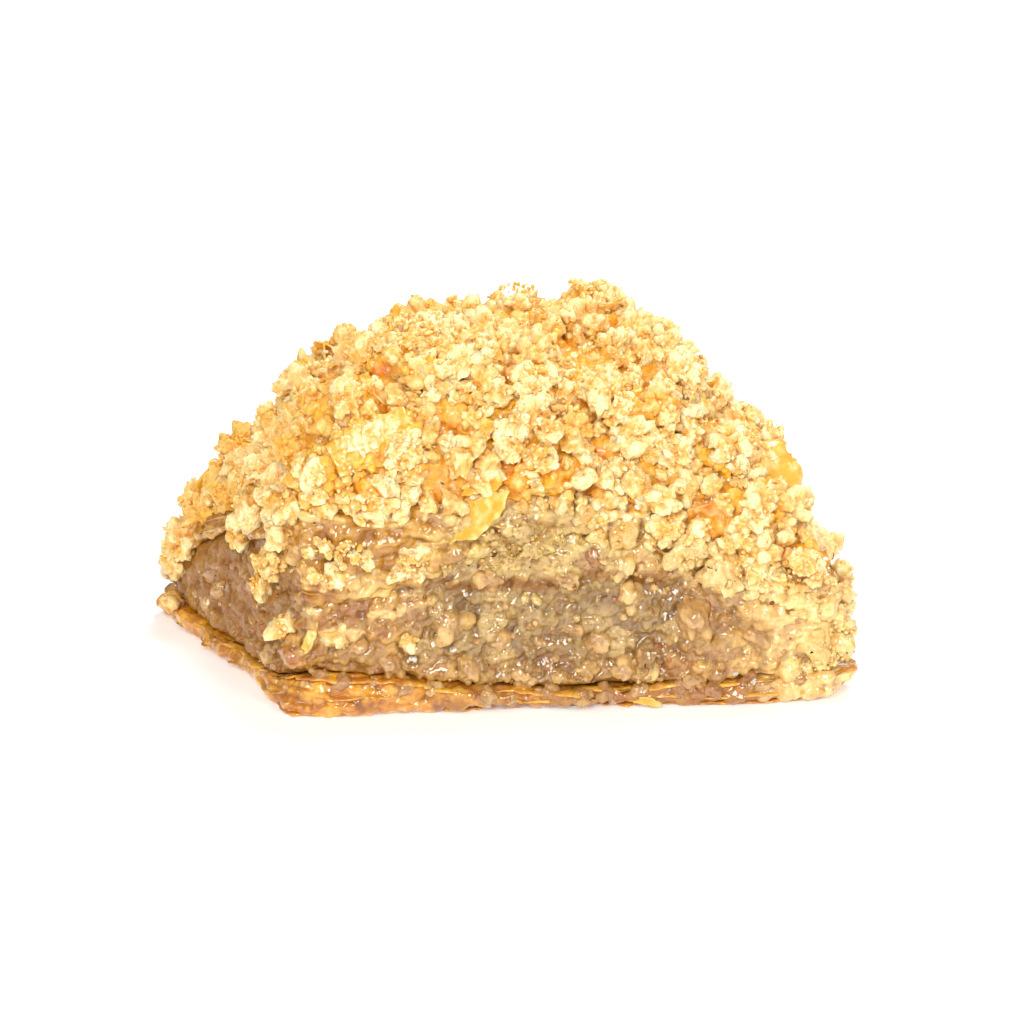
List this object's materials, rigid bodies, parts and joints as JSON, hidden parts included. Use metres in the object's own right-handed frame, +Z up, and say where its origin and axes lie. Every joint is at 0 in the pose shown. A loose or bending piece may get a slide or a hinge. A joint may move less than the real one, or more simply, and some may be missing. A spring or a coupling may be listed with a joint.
{
  "type": "baklava piece",
  "caption": "One cut piece of walnut pastry with syrup-soaked sheets below, a thick ground walnut filling and a domed crumb topping.",
  "frame": {"origin": "on the surface it rests on, under the middle of the piece's box", "axes": "+X along the front cut face to the right, +Y away from that face, +Z up"},
  "size_m": [0.0644, 0.0332, 0.0343],
  "materials": {
    "base_pastry": "syrup-soaked pastry sheets, amber orange, glossy",
    "nut_filling": "moist ground walnut, grey brown, glistening",
    "top_pastry": "baked pastry sheets with syrup, golden, soft gloss",
    "nut_topping": "pale walnut crumbs and broken pastry flakes, mostly matte"
  },
  "bodies": {
    "root": {"base_pastry": "base_pastry", "nut_filling": "nut_filling", "top_pastry": "top_pastry", "nut_topping": "nut_topping"}
  },
  "joints": []
}
